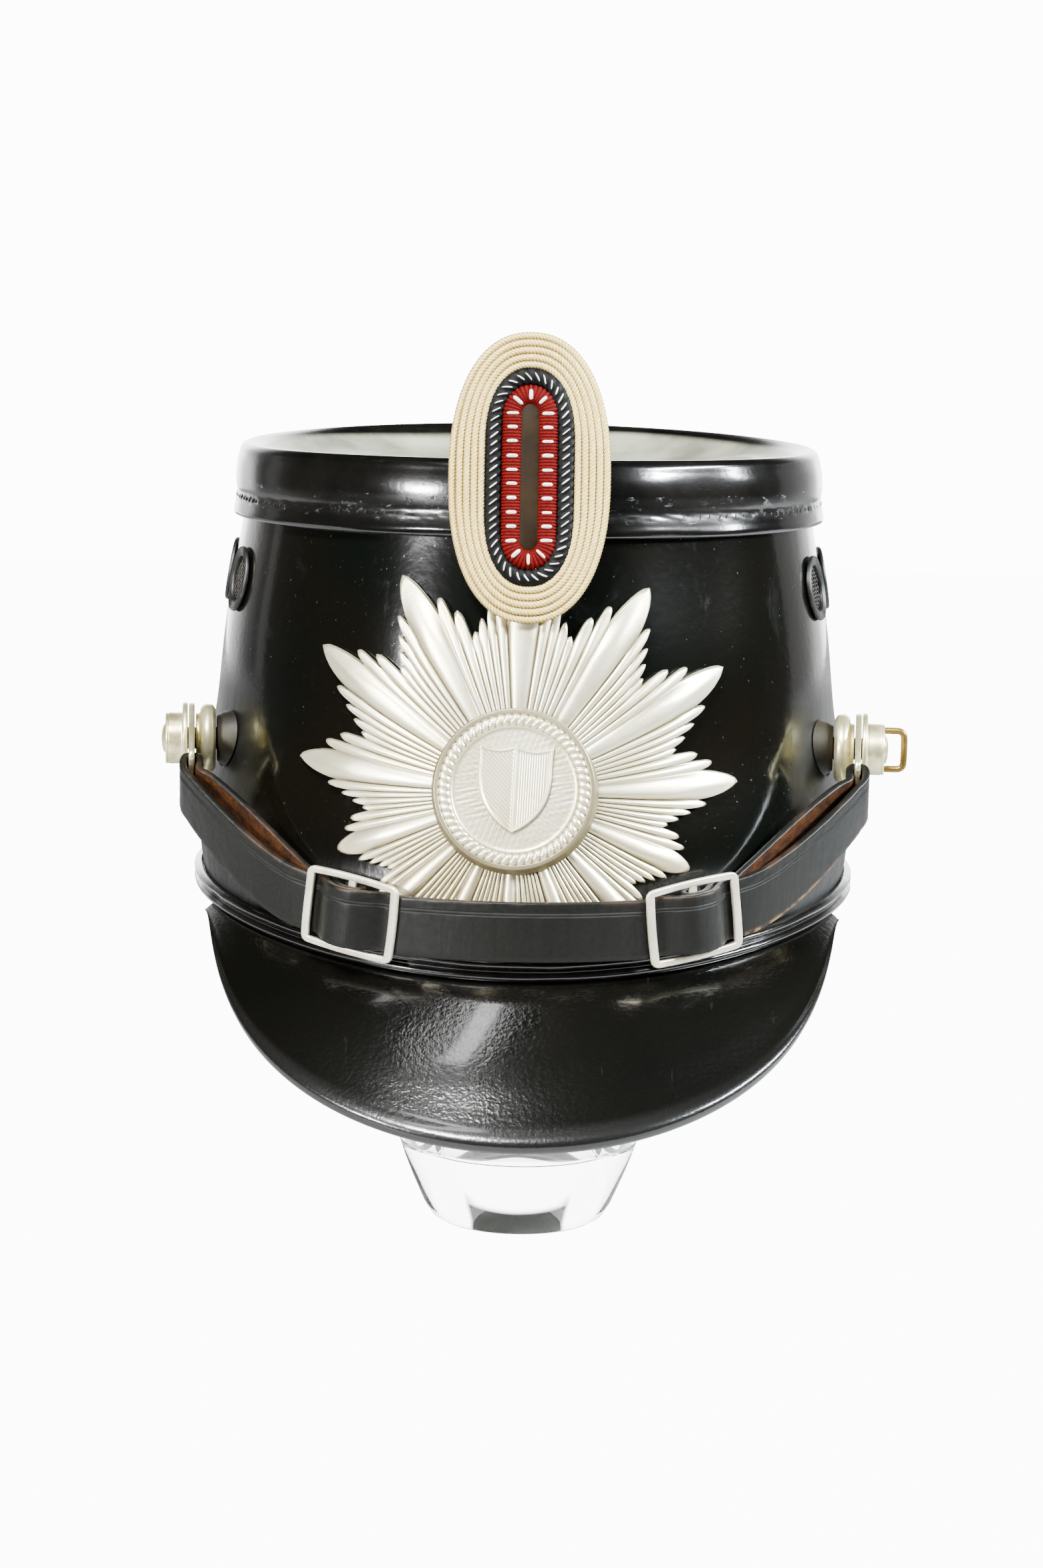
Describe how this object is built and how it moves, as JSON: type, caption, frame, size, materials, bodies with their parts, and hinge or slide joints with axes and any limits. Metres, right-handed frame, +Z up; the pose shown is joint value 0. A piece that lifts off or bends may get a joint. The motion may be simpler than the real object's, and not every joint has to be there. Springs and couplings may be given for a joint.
{
  "type": "leather shako on a glass stand",
  "caption": "Peaked shako of black lacquered leather with a rayed star plate, an oval corded cockade and a buckled chin strap, held up by a plain glass vessel.",
  "frame": {"origin": "centre of the glass stand's flat underside", "axes": "+Z up, -Y to the front of the hat with its star and long visor, +X to the right as the picture shows it"},
  "size_m": [0.2034, 0.2675, 0.2554],
  "materials": {
    "clear_glass": "clear, thick foot",
    "black_lacquer": "gloss lacquer with scuffs",
    "top_leather": "worn gloss, dull on top",
    "band_leather": "satin with soft wrinkles",
    "strap_leather": "satin, brown suede inside",
    "vent_paint": "semi-gloss black paint",
    "vent_wire": "dark wire mesh",
    "post_alloy": "pale, lightly brushed",
    "buckle_steel": "smooth satin",
    "brass_wire": "dull",
    "star_alloy": "matt, pressed",
    "silver_cord": "twisted metallic cord",
    "black_cord": "wound cord with metallic stitches",
    "red_cord": "wound cord with metallic stitches",
    "old_gold": "dull olive gold"
  },
  "bodies": {
    "root": {"glass_stand": "clear_glass", "crown_shell": "black_lacquer", "crown_top": "top_leather", "head_band": "band_leather", "front_visor": "black_lacquer", "neck_peak": "black_lacquer", "vent_rim_left_front": "vent_paint", "vent_rim_left_rear": "vent_paint", "vent_rim_right_front": "vent_paint", "vent_rim_right_rear": "vent_paint", "vent_mesh_left_front": "vent_wire", "vent_mesh_left_rear": "vent_wire", "vent_mesh_right_front": "vent_wire", "vent_mesh_right_rear": "vent_wire", "post_seat_left": "post_alloy", "post_seat_right": "post_alloy", "post_rosette_left": "post_alloy", "post_rosette_right": "post_alloy", "post_nut_left": "post_alloy", "post_nut_right": "post_alloy", "lug_plate_left": "post_alloy", "lug_plate_right": "post_alloy", "strap_hook": "brass_wire", "chin_strap": "strap_leather", "buckle_left": "buckle_steel", "buckle_right": "buckle_steel", "star": "star_alloy", "star_medallion": "star_alloy", "star_shield": "star_alloy", "cockade_cords": "silver_cord", "cockade_dark_ring": "black_cord", "cockade_red_ring": "red_cord", "cockade_slot_plate": "old_gold", "cockade_pin": "silver_cord"}
  },
  "joints": []
}
